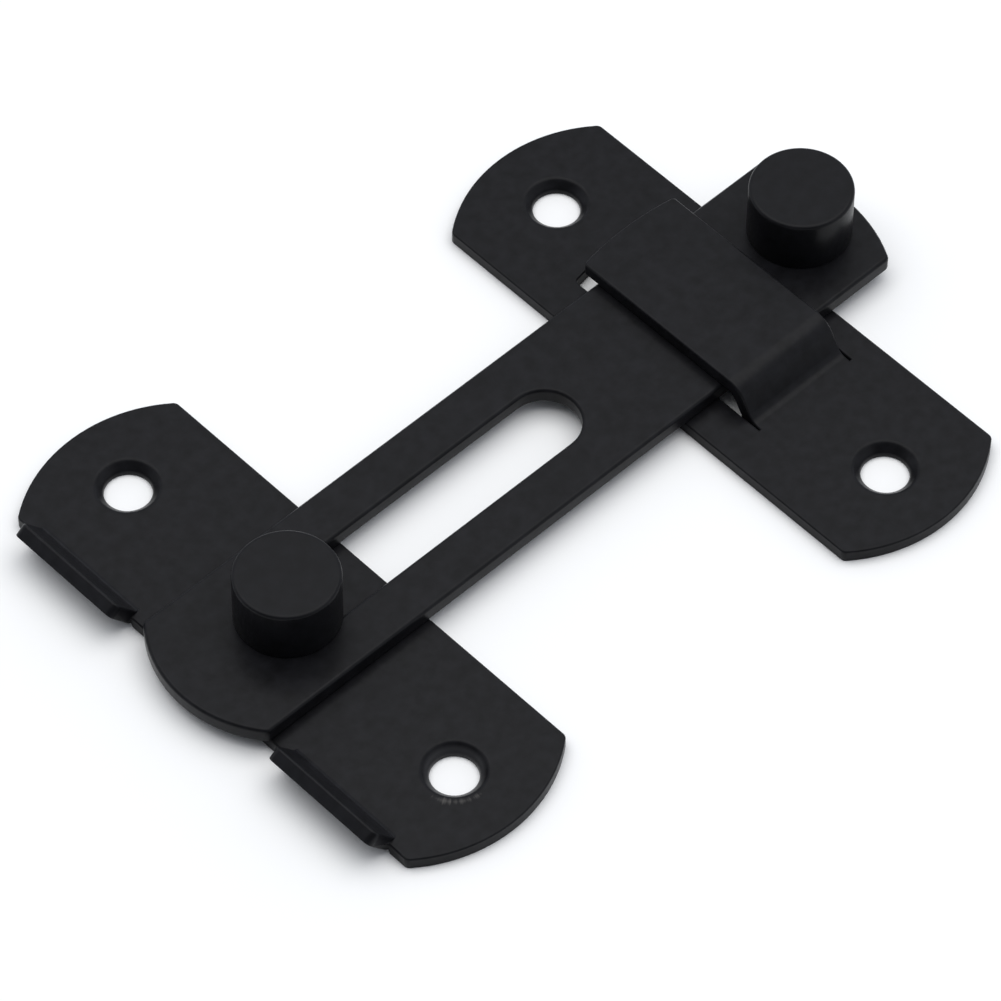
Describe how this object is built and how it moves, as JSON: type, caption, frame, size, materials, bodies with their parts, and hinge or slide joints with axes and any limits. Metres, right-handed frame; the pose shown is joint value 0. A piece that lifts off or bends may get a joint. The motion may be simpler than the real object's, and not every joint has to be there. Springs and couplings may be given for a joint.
{
  "type": "door latch",
  "caption": "Swing-bar door latch: a slotted flat bar turns on a round pivot knob and swings under a raised tongue on a screw-on keeper plate.",
  "frame": {"origin": "pivot axis on the base plate's underside, which is the middle of that plate's two screw holes", "axes": "+X along the closed bar to the keeper, +Y along the plates to the open side of the keeper's tongue, +Z out of the door"},
  "size_m": [0.0929, 0.0681, 0.0101],
  "materials": {
    "black_coat": "satin black powder coat on pressed sheet",
    "black_knob": "satin black coat on turned steel",
    "zinc_screw": "zinc plated",
    "bush_brass": "turned, bare"
  },
  "bodies": {
    "base": {"base_plate": "black_coat", "pivot_knob": "black_knob", "pivot_screw": "zinc_screw", "keeper_plate": "black_coat"},
    "pivot": {"slot_bush": "bush_brass"},
    "bar": {"slide_bar": "black_coat", "handle_knob": "black_knob", "handle_screw": "zinc_screw"}
  },
  "joints": [
    {"name": "bar_swing", "type": "hinge", "parent": "base", "child": "pivot", "pos_m": [0, 0, 0], "axis": [0, 0, 1], "range_deg": [0, 90]},
    {"name": "bar_slide", "type": "slide", "parent": "pivot", "child": "bar", "axis": [1, 0, 0], "range_m": [-0.0018, 0]}
  ]
}
